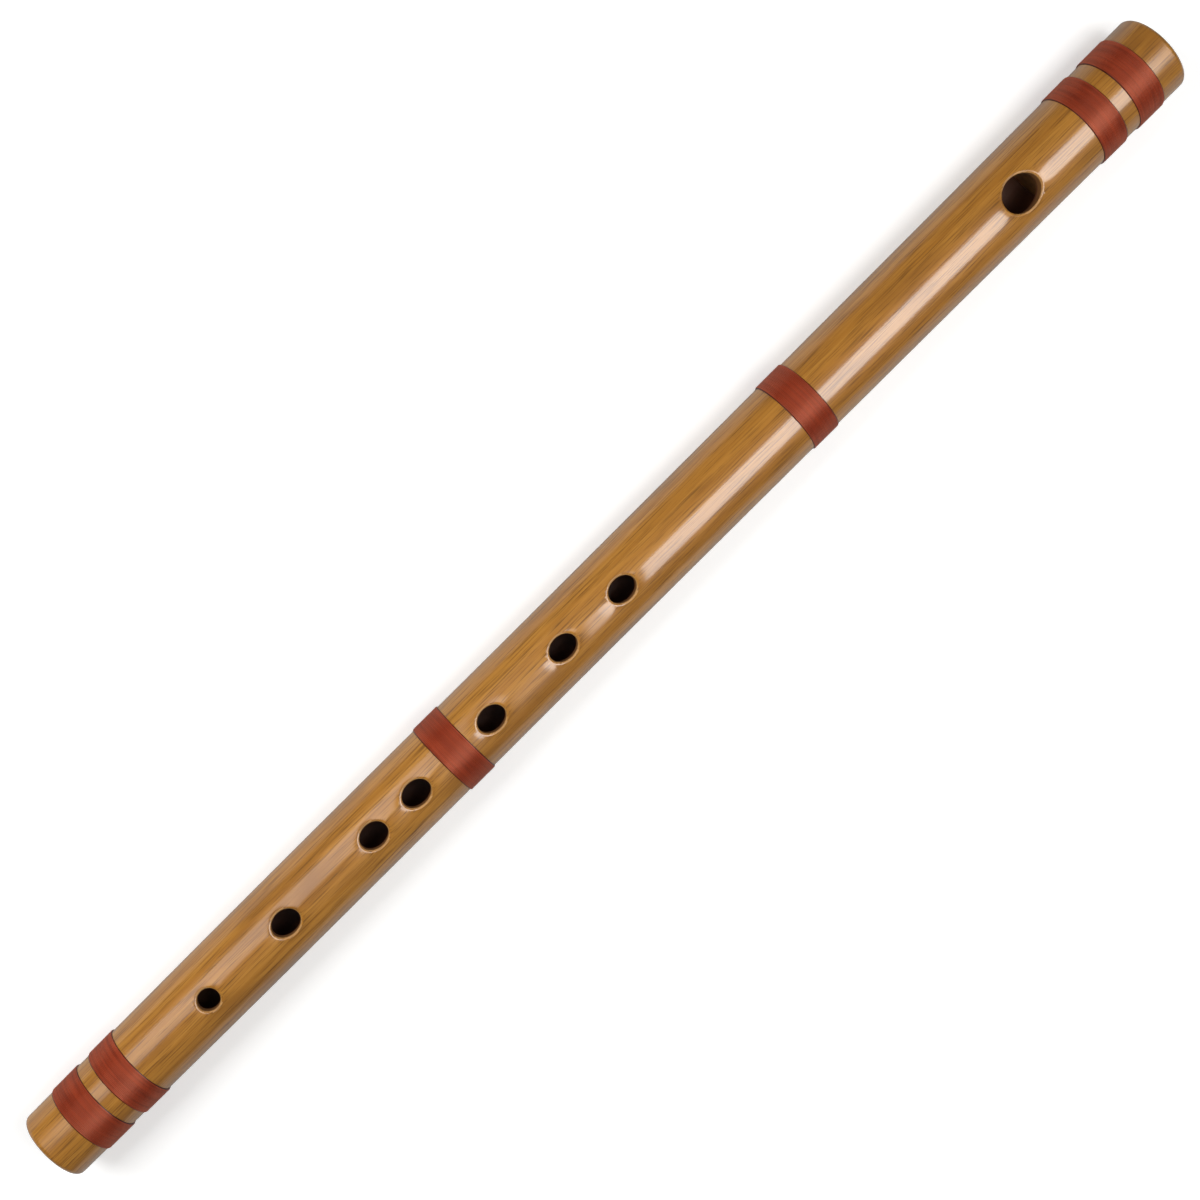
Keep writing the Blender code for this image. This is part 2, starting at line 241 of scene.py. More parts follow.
@dataclass(frozen=True)
class VarnishedBamboo:
    """Madake bamboo, scraped smooth and varnished: golden brown, with fine darker fibres.

    Bamboo has straight fibre bundles, some two or three to a millimetre, which show through the
    clear varnish as short dark dashes. The varnish lies a little uneven over them and shines.
    """

    golden: int = 0xB27A2C
    orange: int = 0xA26A20
    shaded: int = 0x8A581C
    fibre: int = 0x744A18
    fibre_width: float = 0.34 * MM
    fibre_length: float = 13 * MM
    band_width: float = 1.6 * MM
    band_length: float = 120 * MM
    patch_width: float = 8 * MM
    patch_length: float = 32 * MM
    fibre_height: float = 0.012 * MM
    varnish_height: float = 0.0025 * MM
    wood_roughness: float = 0.4
    varnish_roughness: float = 0.15
    varnish_ior: float = 1.7

    def material(self, slope: float) -> bpy.types.Material:
        """Make the material.

        Args:
            slope: How steeply the fibres run, in radians, because the flute lies a little sloped.

        Returns:
            The material.
        """
        material, tree, shader = new_surface("varnished_bamboo")
        place = flute_place(tree, slope)
        fibres = streaks(tree, place, self.fibre_length, self.fibre_width, 3.0)
        bands = streaks(tree, place, self.band_length, self.band_width, 2.0)
        patches = streaks(tree, place, self.patch_length, self.patch_width, 2.0)
        skin = mixed(tree, bands, (0.36, 0.64), linear(self.golden), linear(self.orange))
        skin = mixed(tree, patches, (0.52, 0.8), skin, linear(self.shaded))
        skin = mixed(tree, fibres, (0.5, 0.7), skin, linear(self.fibre))
        tree.links.new(skin, shader.inputs["Base Color"])
        for socket, height in (("Normal", self.fibre_height), ("Coat Normal", self.varnish_height)):
            bump = add_node(tree, "ShaderNodeBump", {}, {"Height": fibres, "Distance": height})
            tree.links.new(bump.outputs["Normal"], shader.inputs[socket])
        shader.inputs["Roughness"].default_value = self.wood_roughness
        shader.inputs["Coat Weight"].default_value = 1.0
        shader.inputs["Coat IOR"].default_value = self.varnish_ior
        shader.inputs["Coat Roughness"].default_value = self.varnish_roughness
        return material


@dataclass(frozen=True)
class CutBamboo:
    """Bamboo where a knife or a drill cut it: pale and matt at the rims, darker with depth down the holes'
    walls, and darkest in the bore.
    """

    rim: int = 0xB4864E
    wall: int = 0x7C5430
    inside: int = 0x5A3420
    rim_depth: float = 0.7 * MM
    bore_depth: float = 2.8 * MM
    fibre_width: float = 0.35 * MM
    fibre_length: float = 12 * MM
    fibre_height: float = 0.03 * MM
    roughness: float = 0.55

    def material(self, slope: float) -> bpy.types.Material:
        """Make the material.

        Args:
            slope: How steeply the fibres run, in radians.

        Returns:
            The material, which needs the wall_depth attribute on its mesh.
        """
        material, tree, shader = new_surface("cut_bamboo")
        fibres = streaks(tree, flute_place(tree, slope), self.fibre_length, self.fibre_width, 3.0)
        depth = add_node(tree, "ShaderNodeAttribute", {"attribute_name": WALL_DEPTH}, {}).outputs["Fac"]
        cut = mixed(tree, depth, (0.4 * self.rim_depth, self.rim_depth), linear(self.rim), linear(self.wall))
        cut = mixed(tree, depth, (self.bore_depth, 1.25 * self.bore_depth), cut, linear(self.inside))
        cut = mixed(tree, fibres, (0.5, 0.9), cut, linear(self.inside))
        bump = add_node(tree, "ShaderNodeBump", {}, {"Height": fibres, "Distance": self.fibre_height})
        tree.links.new(cut, shader.inputs["Base Color"])
        tree.links.new(bump.outputs["Normal"], shader.inputs["Normal"])
        shader.inputs["Roughness"].default_value = self.roughness
        return material


@dataclass(frozen=True)
class LacqueredThread:
    """Twisted silk thread, wound tight and sealed with thin lacquer: brick red with a satin shine.

    Each turn takes the dye and the lacquer a little differently, so that fine lines run round the
    winding, and dyed silk tints the light that it throws back.
    """

    dyed: int = 0x9A3A1E
    worn: int = 0x74220E
    shine: int = 0xFFAC8C
    gloss: float = 2.05
    turn_width: float = 0.5 * MM
    turn_length: float = 14 * MM
    fibre: float = 0.15 * MM
    fibre_height: float = 0.02 * MM
    roughness: float = 0.34

    def material(self) -> bpy.types.Material:
        """Make the material, with lines of lighter and darker turns and fine raised fibres."""
        material, tree, shader = new_surface("lacquered_red_thread")
        place = add_node(tree, "ShaderNodeTexCoord", {}, {}).outputs["Object"]
        turns = streaks(tree, place, self.turn_width, self.turn_length, 2.0)
        fine = {"Vector": place, "Scale": 1 / self.fibre, "Detail": 2.0}
        fibres = add_node(tree, "ShaderNodeTexNoise", {}, fine).outputs["Fac"]
        colour = mixed(tree, turns, (0.32, 0.68), linear(self.worn), linear(self.dyed))
        bump = add_node(tree, "ShaderNodeBump", {}, {"Height": fibres, "Distance": self.fibre_height})
        tree.links.new(colour, shader.inputs["Base Color"])
        tree.links.new(bump.outputs["Normal"], shader.inputs["Normal"])
        shader.inputs["Roughness"].default_value = self.roughness
        shader.inputs["IOR"].default_value = self.gloss
        shader.inputs["Specular IOR Level"].default_value = 1.0
        shader.inputs["Specular Tint"].default_value = linear(self.shine)
        return material


@dataclass(frozen=True)
class LacquerBedShadowLine:
    """Dark red lacquer that fills the space under the thread. Its dark colour, seen in the seat's gap at the
    winding's edges, is a painted shadow line between thread and bamboo.
    """

    # Dark enough that the bed's edges show as a painted shadow line beside the thread.
    colour: int = 0x4A120A
    pooled: int = 0x2C0A06
    pool_size: float = 2 * MM
    roughness: float = 0.3

    def material(self) -> bpy.types.Material:
        """Make the material, darker in places where the lacquer pooled."""
        material, tree, shader = new_surface("lacquer_painted_shadow_line")
        place = add_node(tree, "ShaderNodeTexCoord", {}, {}).outputs["Object"]
        pools = {"Vector": place, "Scale": 1 / self.pool_size, "Detail": 2.0}
        pooled = add_node(tree, "ShaderNodeTexNoise", {}, pools).outputs["Fac"]
        colour = mixed(tree, pooled, (0.4, 0.7), linear(self.colour), linear(self.pooled))
        tree.links.new(colour, shader.inputs["Base Color"])
        shader.inputs["Roughness"].default_value = self.roughness
        return material


@dataclass(frozen=True)
class Beeswax:
    """Beeswax poured on the stopper's face: amber brown, faintly see-through, with a soft shine."""

    colour: int = 0xA87C4C
    darker: int = 0x85592E
    cloud: float = 3 * MM
    ripple: float = 0.1 * MM
    roughness: float = 0.38
    glow_through: float = 0.15
    glow_depth: float = 1 * MM

    def material(self) -> bpy.types.Material:
        """Make the material, clouded as wax is where it cooled."""
        material, tree, shader = new_surface("beeswax")
        place = add_node(tree, "ShaderNodeTexCoord", {}, {}).outputs["Object"]
        clouds = {"Vector": place, "Scale": 1 / self.cloud, "Detail": 4.0}
        cloud = add_node(tree, "ShaderNodeTexNoise", {}, clouds).outputs["Fac"]
        colour = mixed(tree, cloud, (0.3, 0.7), linear(self.colour), linear(self.darker))
        bump = add_node(tree, "ShaderNodeBump", {}, {"Height": cloud, "Distance": self.ripple})
        tree.links.new(colour, shader.inputs["Base Color"])
        tree.links.new(bump.outputs["Normal"], shader.inputs["Normal"])
        shader.inputs["Roughness"].default_value = self.roughness
        shader.inputs["Subsurface Weight"].default_value = self.glow_through
        shader.inputs["Subsurface Scale"].default_value = self.glow_depth
        return material


@dataclass(frozen=True)
class Cork:
    """Cut cork: tan, matt, with darker pores about a millimetre across."""

    colour: int = 0xB08458
    darker: int = 0x8C6440
    pore: int = 0x5E3A20
    pore_space: float = 2.2 * MM
    grain: float = 0.5 * MM
    grain_height: float = 0.08 * MM
    roughness: float = 0.85

    def material(self) -> bpy.types.Material:
        """Make the material, with pores from cells and a fine grain over all."""
        material, tree, shader = new_surface("cork")
        place = add_node(tree, "ShaderNodeTexCoord", {}, {}).outputs["Object"]
        cells = {"Vector": place, "Scale": 1 / self.pore_space}
        pores = add_node(tree, "ShaderNodeTexVoronoi", {}, cells).outputs["Distance"]
        grains = {"Vector": place, "Scale": 1 / self.grain, "Detail": 3.0}
        grain = add_node(tree, "ShaderNodeTexNoise", {}, grains).outputs["Fac"]
        tan = mixed(tree, grain, (0.3, 0.8), linear(self.colour), linear(self.darker))
        colour = mixed(tree, pores, (0.16, 0.26), linear(self.pore), tan)
        bump = add_node(tree, "ShaderNodeBump", {}, {"Height": grain, "Distance": self.grain_height})
        tree.links.new(colour, shader.inputs["Base Color"])
        tree.links.new(bump.outputs["Normal"], shader.inputs["Normal"])
        shader.inputs["Roughness"].default_value = self.roughness
        return material


def new_surface(name: str) -> tuple[bpy.types.Material, bpy.types.NodeTree, bpy.types.Node]:
    """Make a node material, and give it with its tree and its Principled shader."""
    material = bpy.data.materials.new(name)
    material.use_nodes = True
    return material, material.node_tree, material.node_tree.nodes["Principled BSDF"]


def lathe(name: str, profile: Sequence[Point], facets: int) -> bpy.types.Mesh:
    """Turn a closed shape round its own Z axis.

    Args:
        name: The mesh's name.
        profile: Points of (radius, height), up the outer side and back down the inner side. Points
            on the axis are merged to one.
        facets: How many sides the round shape gets.

    Returns:
        A closed mesh with its faces outwards.
    """
    form = bmesh.new()
    rings = []
    for radius, height in profile:
        angles = [2 * math.pi * step / facets for step in range(facets)]
        rings.append([form.verts.new((radius * math.cos(a), radius * math.sin(a), height)) for a in angles])
    for low, high in zip(rings, rings[1:] + rings[:1]):
        for step in range(facets):
            after = (step + 1) % facets
            form.faces.new((low[step], low[after], high[after], high[step]))
    bmesh.ops.remove_doubles(form, verts=form.verts, dist=MERGE_DISTANCE)
    bmesh.ops.dissolve_degenerate(form, edges=form.edges, dist=MERGE_DISTANCE)
    bmesh.ops.recalc_face_normals(form, faces=form.faces)
    mesh = bpy.data.meshes.new(name)
    form.to_mesh(mesh)
    form.free()
    return mesh


def arc(centre: Point, radius: float, start: float, end: float, steps: int) -> list[Point]:
    """Give points on an arc of a profile, both ends included, with angles in degrees."""
    angles = [math.radians(start + (end - start) * step / steps) for step in range(steps + 1)]
    return [(centre[0] + radius * math.cos(a), centre[1] + radius * math.sin(a)) for a in angles]


def shown(name: str, mesh: bpy.types.Mesh, material: bpy.types.Material | None) -> bpy.types.Object:
    """Put a mesh in the scene as an object at the origin, with its faces smooth.

    Args:
        name: The piece's name.
        mesh: Its mesh, already in place.
        material: What it is made of, or None where its mesh says so already.

    Returns:
        The object.
    """
    thing = bpy.data.objects.new(name, mesh)
    bpy.context.scene.collection.objects.link(thing)
    if material is not None:
        mesh.materials.clear()
        mesh.materials.append(material)
    mesh.polygons.foreach_set("use_smooth", [True] * len(mesh.polygons))
    return thing


def as_piece(thing: bpy.types.Object, node: str) -> None:
    """Say what a finished piece rides on, which CAD node it stands for."""
    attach(thing, BODY)
    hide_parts(node)
    log.info("%s: %d faces, for %s", thing.name, len(thing.data.polygons), node)


@dataclass
class ThreadBinding:
    """One thread winding: a bed of lacquer with fine thread wound over it, turn beside turn."""

    node: str
    start: float
    end: float
    start_radius: float
    end_radius: float
    turns: int = 25
    thread_height: float = 0.4 * MM
    thread_radius: float = 0.2 * MM
    points_in_turn: int = 64
    thread_sides: int = 8
    unevenness: float = 0.05 * MM
    unevenness_size: float = 6 * MM
    seed: float = 0.0
    turn: Turn = Turn.CLOCKWISE

    def build(self, bore: Bore, winding: bpy.types.NodeTree, thread, bed) -> None:
        """Build the thread and its bed, and dress both.

        Args:
            bore: The bore's axis.
            winding: The Geometry Nodes tree that winds the thread.
            thread: The thread's material.
            bed: The lacquer's material, whose dark edges are a painted shadow line beside the thread.
        """
        wound = self.wind(winding, thread)
        wound.transform(bore.place(self.start + self.thread_radius))
        as_piece(shown(f"{self.node}_thread", wound, None), self.node)
        lacquer = lathe(f"{self.node}_bed", self.bed_profile(), 96)
        lacquer.transform(bore.place(0.0))
        # The bed's dark lacquer shows at the seat's edges as a painted shadow line.
        as_piece(shown(f"{self.node}_bed", lacquer, bed), self.node)

    def wind(self, winding: bpy.types.NodeTree, thread: bpy.types.Material) -> bpy.types.Mesh:
        """Wind the thread with the tree, and give it as a plain mesh."""
        centre = self.thread_height - self.thread_radius
        sizes = {
            "Start Radius": self.start_radius + centre,
            "End Radius": self.end_radius + centre,
            "Width": self.end - self.start - 2 * self.thread_radius,
            "Turns": float(self.turns),
            "Points in Turn": self.points_in_turn,
            "Thread Radius": self.thread_radius,
            "Thread Sides": self.thread_sides,
            "Anticlockwise": self.turn.value,
            "Unevenness": self.unevenness,
            "Unevenness Size": self.unevenness_size,
            "Seed": self.seed,
            "Material": thread,
        }
        carrier = bpy.data.objects.new("winding", bpy.data.meshes.new("winding"))
        bpy.context.scene.collection.objects.link(carrier)
        modifier = carrier.modifiers.new("winding", "NODES")
        modifier.node_group = winding
        for item in winding.interface.items_tree:
            if item.in_out == "INPUT" and item.name in sizes:
                modifier[item.identifier] = sizes[item.name]
        evaluated = carrier.evaluated_get(bpy.context.evaluated_depsgraph_get())
        mesh = bpy.data.meshes.new_from_object(evaluated)
        carrier.modifiers.remove(modifier)
        bpy.data.objects.remove(carrier)
        return mesh

    def bed_profile(self) -> list[Point]:
        """Give the bed's closed profile: its top lies halfway up the thread."""
        top = self.thread_height - self.thread_radius
        under = 0.28 * MM
        edge = 0.04 * MM
        return [
            (self.start_radius - under, self.start),
            (self.start_radius + top - edge, self.start),
            (self.start_radius + top, self.start + edge),
            (self.end_radius + top, self.end - edge),
            (self.end_radius + top - edge, self.end),
            (self.end_radius - under, self.end),
        ]


def winding_tree() -> bpy.types.NodeTree:
    """Make the tree that winds a thread as a spiral round its own Z axis.

    Returns:
        The tree. Its inputs are named for what they set, and the seed is fixed by each winding.
    """
    tree = bpy.data.node_groups.new("thread_winding", "GeometryNodeTree")
    sockets = {
        "Start Radius": "NodeSocketFloat",
        "End Radius": "NodeSocketFloat",
        "Width": "NodeSocketFloat",
        "Turns": "NodeSocketFloat",
        "Points in Turn": "NodeSocketInt",
        "Thread Radius": "NodeSocketFloat",
        "Thread Sides": "NodeSocketInt",
        "Anticlockwise": "NodeSocketBool",
        "Unevenness": "NodeSocketFloat",
        "Unevenness Size": "NodeSocketFloat",
        "Seed": "NodeSocketFloat",
        "Material": "NodeSocketMaterial",
    }
    for name, kind in sockets.items():
        tree.interface.new_socket(name, in_out="INPUT", socket_type=kind)
    tree.interface.new_socket("Geometry", in_out="OUTPUT", socket_type="NodeSocketGeometry")
    size = add_node(tree, "NodeGroupInput", {}, {}).outputs
    spiral = add_node(
        tree,
        "GeometryNodeCurveSpiral",
        {},
        {
            "Resolution": size["Points in Turn"],
            "Rotations": size["Turns"],
            "Start Radius": size["Start Radius"],
            "End Radius": size["End Radius"],
            "Height": size["Width"],
            "Reverse": size["Anticlockwise"],
        },
    )
    place = add_node(tree, "GeometryNodeInputPosition", {}, {})
    scale = add_node(
        tree, "ShaderNodeMath", {"operation": "DIVIDE"}, {"Value": 1.0, "Value_001": size["Unevenness Size"]}
    )
    noise = add_node(
        tree,
        "ShaderNodeTexNoise",
        {"noise_dimensions": "4D"},
        {"Vector": place.outputs["Position"], "W": size["Seed"], "Scale": scale.outputs[0], "Detail": 1.0},
    )
    middle = add_node(
        tree, "ShaderNodeMath", {"operation": "SUBTRACT"}, {"Value": noise.outputs["Fac"], "Value_001": 0.5}
    )
    shift = add_node(
        tree,
        "ShaderNodeMath",
        {"operation": "MULTIPLY"},
        {"Value": middle.outputs[0], "Value_001": size["Unevenness"]},
    )
    sideways = add_node(tree, "ShaderNodeCombineXYZ", {}, {"Z": shift.outputs[0]})
    uneven = add_node(
        tree,
        "GeometryNodeSetPosition",
        {},
        {"Geometry": spiral.outputs["Curve"], "Offset": sideways.outputs["Vector"]},
    )
    section = add_node(
        tree,
        "GeometryNodeCurvePrimitiveCircle",
        {"mode": "RADIUS"},
        {"Resolution": size["Thread Sides"], "Radius": size["Thread Radius"]},
    )
    thread = add_node(
        tree,
        "GeometryNodeCurveToMesh",
        {},
        {
            "Curve": uneven.outputs["Geometry"],
            "Profile Curve": section.outputs["Curve"],
            "Fill Caps": True,
        },
    )
    real = add_node(tree, "GeometryNodeRealizeInstances", {}, {"Geometry": thread.outputs["Mesh"]})
    dressed = add_node(
        tree,
        "GeometryNodeSetMaterial",
        {},
        {"Geometry": real.outputs["Geometry"], "Material": size["Material"]},
    )
    add_node(tree, "NodeGroupOutput", {}, {"Geometry": dressed.outputs["Geometry"]})
    return tree


@dataclass
class BambooTube:
    """The bamboo: a slightly tapered tube with rounded ends, seats for the thread, and its holes.

    The skin is scraped down a little round each hole, further along the flute than across it, so
    that the shine on it bends towards the hole.
    """

    bore_diameter: float = 15.4 * MM
    end_rounding: float = 1.5 * MM
    bore_edge: float = 0.35 * MM
    hole_rounding: float = 0.7 * MM
    hole_lift: float = 0.0875 * MM
    hole_twist: float = math.radians(9.8)
    upright_along: float = 168.6 * MM
    dish_depth: float = 0.4 * MM
    dish_run: float = 6.0 * MM
    dish_spread: float = 1.8 * MM
    facets: int = 144
    hole_facets: int = 96
    station_run: float = 3.5 * MM
    fine_run: float = 1.0 * MM
    seat_depth: float = 0.35 * MM
    # The narrow gap shows the dark lacquer bed as a painted shadow line beside each winding.
    seat_gap: float = 0.03 * MM
    skin_tolerance: float = 0.025 * MM
    varnished_depth: float = 0.18 * MM
    diameters: tuple[Point, ...] = (
        (0.0, 21.6 * MM),
        (60.5 * MM, 22.45 * MM),
        (219.2 * MM, 22.8 * MM),
        (376.4 * MM, 23.92 * MM),
        (436.0 * MM, 24.58 * MM),
    )
    holes: tuple[Hole, ...] = (
        Hole("finger_hole_1", 60.5 * MM, 6.5 * MM, 6.2 * MM),
        Hole("finger_hole_2", 89.8 * MM, 8.8 * MM, 7.1 * MM),
        Hole("finger_hole_3", 123.4 * MM, 8.7 * MM, 7.1 * MM),
        Hole("finger_hole_4", 139.7 * MM, 9.0 * MM, 7.0 * MM),
        Hole("finger_hole_5", 168.6 * MM, 8.9 * MM, 6.9 * MM),
        Hole("finger_hole_6", 196.3 * MM, 8.9 * MM, 6.8 * MM),
        Hole("finger_hole_7", 219.2 * MM, 8.8 * MM, 6.8 * MM),
        Hole("blow_hole", 376.4 * MM, 12.5 * MM, 10.3 * MM),
    )
    seats: list[Point] = field(default_factory=list)

    def radius(self, along: float) -> float:
        """Give the bamboo's outer radius on the smooth curve through its named diameters."""
        places, diameters = np.array(self.diameters).T
        slopes = np.gradient(diameters, places)
        first = int(np.clip(np.searchsorted(places, along) - 1, 0, len(places) - 2))
        span = places[first + 1] - places[first]
        t = (along - places[first]) / span
        diameter = (
            (2 * t**3 - 3 * t**2 + 1) * diameters[first]
            + (t**3 - 2 * t**2 + t) * span * slopes[first]
            + (3 * t**2 - 2 * t**3) * diameters[first + 1]
            + (t**3 - t**2) * span * slopes[first + 1]
        )
        return float(diameter) / 2

    def hole_turn(self, hole: Hole) -> float:
        """Give how far round the bamboo a hole lies from straight up, in radians."""
        return self.hole_twist * (hole.along - self.upright_along)

    def dish(self, along: np.ndarray, turn: np.ndarray) -> np.ndarray:
        """Give how far the skin is scraped down at some places.

        Args:
            along: Places along the flute.
            turn: Places round it, in radians from straight up.

        Returns:
            The depths: most at a hole's edge, and nothing from a little way off it.
        """
        depth = np.zeros_like(along)
        for hole in self.holes:
            length, width = hole.length / 2, hole.width / 2
            run = along - hole.along
            side = (turn - self.hole_turn(hole)) * self.radius(hole.along)
            beyond = np.hypot(run / length, side / width) - 1
            within = 1 - np.hypot(run / (length + self.dish_run), side / (width + self.dish_spread))
            share = np.clip(within, 0.0, None) / np.clip(within + beyond, 1e-6, None)
            depth += self.dish_depth * np.clip(share, 0.0, 1.0) ** 2
        return depth

    def skin(self, along: np.ndarray, turn: np.ndarray, length: float) -> np.ndarray:
        """Give the skin's radius, with its rounded ends and with the dishes round its holes."""
        radius = np.array([self.radius(place) for place in along])
        from_end = np.clip(np.minimum(along, length - along), 0.0, self.end_rounding)
        lean = np.sqrt(self.end_rounding**2 - (self.end_rounding - from_end) ** 2)
        return radius - self.end_rounding + lean - self.dish(along, turn)

    def stations(self, low: float, high: float) -> list[Point]:
        """Give profile points on the skin from one place to another, closer together near holes."""
        margin = self.dish_run + self.station_run
        places = [low]
        while places[-1] < high:
            near = any(abs(places[-1] - hole.along) < hole.length / 2 + margin for hole in self.holes)
            places.append(min(places[-1] + (self.fine_run if near else self.station_run), high))
        return [(self.radius(along), along) for along in places]

    def profile(self, length: float) -> list[Point]:
        """Give the tube's closed profile, with rounded ends and a seat under each binding."""
        low_corner = (self.radius(0.0) - self.end_rounding, self.end_rounding)
        high_corner = (self.radius(length) - self.end_rounding, length - self.end_rounding)
        outer = []
        last = self.end_rounding
        for start, end in self.seats:
            low, high = start - self.seat_gap, end + self.seat_gap
            outer += self.stations(last, low)
            outer += [(self.radius(low) - self.seat_depth, low), (self.radius(high) - self.seat_depth, high)]
            last = high
        outer += self.stations(last, length - self.end_rounding)
        bore = self.bore_diameter / 2
        return [
            (bore + self.bore_edge, 0.0),
            *arc(low_corner, self.end_rounding, -90, 0, 8)[:-1],
            *outer,
            *arc(high_corner, self.end_rounding, 0, 90, 8)[1:],
            (bore + self.bore_edge, length),
            (bore, length - self.bore_edge),
            *[(bore, length * share) for share in (0.8, 0.6, 0.4, 0.2)],
            (bore, self.bore_edge),
        ]

    def scrape(self, mesh: bpy.types.Mesh) -> None:
        """Scrape the turned mesh down round the holes, while its own +Z is along the bore."""
        points = np.array([vert.co for vert in mesh.vertices])
        reach = np.hypot(points[:, 0], points[:, 1])
        turn = np.arctan2(-points[:, 1], -points[:, 0])
        outside = reach > self.bore_diameter / 2 + self.bore_edge
        scraped = reach - np.where(outside, self.dish(points[:, 2], turn), 0.0)
        points[:, :2] *= (scraped / reach)[:, None]
        mesh.vertices.foreach_set("co", points.ravel())

    def hole_cutter(self, hole: Hole, bore: Bore) -> bpy.types.Mesh:
        """Make a plug for one hole, whose softened edge follows the bamboo's round surface.

        Args:
            hole: The hole that it cuts.
            bore: The bore's axis.

        Returns:
            The plug's mesh, in place.
        """
        flare = hole.width / 2 + self.hole_rounding
        rim_centre = (flare, self.hole_lift - self.hole_rounding)
        rim = arc(rim_centre, self.hole_rounding, 180, 90, 8)
        radius = self.radius(hole.along)
        bottom = self.bore_diameter / 4 - radius
        top = hole.width
        profile = [(0.0, bottom), (hole.width / 2, bottom), *rim, (flare, top), (0.0, top)]
        mesh = lathe(f"{hole.name}_cutter", profile, self.hole_facets)
        for vert in mesh.vertices:
            vert.co.x *= hole.length / hole.width
            vert.co.z += math.sqrt(radius**2 - vert.co.y**2) - self.dish_depth
        turn = Matrix.Rotation(self.hole_turn(hole), 4, "X")
        upright = Matrix((bore.forward, Vector((0.0, 1.0, 0.0)), bore.up)).transposed().to_4x4()
        place = Matrix.Translation(bore.foot + bore.forward * hole.along)
        mesh.transform(place @ upright @ turn)
        return mesh

    def build(self, bore: Bore, skin: bpy.types.Material, cut: bpy.types.Material) -> None:
        """Turn the tube, cut its holes and dress it.

        Args:
            bore: The bore's axis.
            skin: The material of the varnished outside.
            cut: The material of the holes' walls, the bore and the end faces.
        """
        mesh = lathe("bamboo", self.profile(bore.length), self.facets)
        self.scrape(mesh)
        mesh.transform(bore.place(0.0))
        tube = shown("bamboo", mesh, skin)
        for hole in self.holes:
            cutter = shown(f"{hole.name}_cutter", self.hole_cutter(hole, bore), None)
            cut_out = tube.modifiers.new(hole.name, "BOOLEAN")
            cut_out.operation = "DIFFERENCE"
            cut_out.solver = "EXACT"
            cut_out.object = cutter
        evaluated = tube.evaluated_get(bpy.context.evaluated_depsgraph_get())
        bored = bpy.data.meshes.new_from_object(evaluated)
        for cut_out in list(tube.modifiers):
            bpy.data.objects.remove(cut_out.object)
            tube.modifiers.remove(cut_out)
        tube.data = bored
        bored.materials.clear()
        bored.materials.append(skin)
        bored.materials.append(cut)
        self.finish_surface(bored, bore)
        as_piece(tube, "bamboo_tube")

    def finish_surface(self, mesh: bpy.types.Mesh, bore: Bore) -> None:
        """Store each point's depth, give the skin its true normals, and part skin from cut faces.

        Args:
            mesh: The bored tube.
            bore: The bore's axis.
        """
        points = np.array([vert.co for vert in mesh.vertices]) - np.array(bore.foot)
        forward, up = np.array(bore.forward), np.array(bore.up)
        along = points @ forward
        across = points - np.outer(along, forward)
        reach = np.linalg.norm(across, axis=1)
        turn = np.arctan2(-across[:, 1], across @ up)
        skin = self.skin(along, turn, bore.length)
        depth = mesh.attributes.new(WALL_DEPTH, "FLOAT", "POINT")
        depth.data.foreach_set("value", (skin - reach).astype(np.float32))
        on_skin = np.abs(skin - reach) < self.skin_tolerance
        step = 0.01 * MM
        outward = across / reach[:, None]
        sideways = np.cross(outward, forward)
        rise = self.skin(along + step, turn, bore.length) - self.skin(along - step, turn, bore.length)
        lean = self.skin(along, turn + step / reach, bore.length) - self.skin(
            along, turn - step / reach, bore.length
        )
        true = outward - forward * (rise / (2 * step))[:, None] - sideways * (lean / (2 * step))[:, None]
        true /= np.linalg.norm(true, axis=1)[:, None]
        bare = skin - reach > self.varnished_depth
        mesh.set_sharp_from_angle(angle=math.radians(35))
        normals = np.array([corner.vector for corner in mesh.corner_normals])
        for face in mesh.polygons:
            if all(on_skin[vert] for vert in face.vertices):
                for loop in face.loop_indices:
                    normals[loop] = true[mesh.loops[loop].vertex_index]
            elif all(bare[vert] for vert in face.vertices):
                face.material_index = 1
        mesh.normals_split_custom_set([Vector(normal) for normal in normals])


@dataclass
class Stopper:
    """The stopper behind the blow-hole: a cork, with wax poured on the face that ends the bore."""

    bore_diameter: float = 15.4 * MM
    fit: float = 0.02 * MM
    wax_thickness: float = 2.5 * MM
    wax_start: float = 384.25 * MM
    wax_dish: float = 0.4 * MM
    seam: float = 0.02 * MM
    cork_length: float = 14.3 * MM
    cork_edge: float = 0.8 * MM
    facets: int = 96

    def build(self, bore: Bore, wax: bpy.types.Material, cork: bpy.types.Material) -> None:
        """Build the wax, dished where it met the wall as it cooled, and the cork behind it."""
        radius = self.bore_diameter / 2 - self.fit
        wax_end = self.wax_start + self.wax_thickness
        dish = [
            (radius * share, self.wax_start + self.wax_dish * (1 - share**4))
            for share in (0.0, 0.4, 0.7, 0.85, 0.95, 1.0)
        ]
        wax_mesh = lathe("stopper_wax_face", [*dish, (radius, wax_end), (0.0, wax_end)], self.facets)
        wax_mesh.transform(bore.place(0.0))
        as_piece(shown("stopper_wax_face", wax_mesh, wax), "stopper_wax")
        low = wax_end + self.seam
        high = low + self.cork_length
        profile = [
            (0.0, low),
            (radius, low),
            *arc((radius - self.cork_edge, high - self.cork_edge), self.cork_edge, 0, 90, 6),
            (0.0, high),
        ]
        cork_mesh = lathe("stopper_cork_plug", profile, self.facets)
        cork_mesh.transform(bore.place(0.0))
        as_piece(shown("stopper_cork_plug", cork_mesh, cork), "stopper_cork")


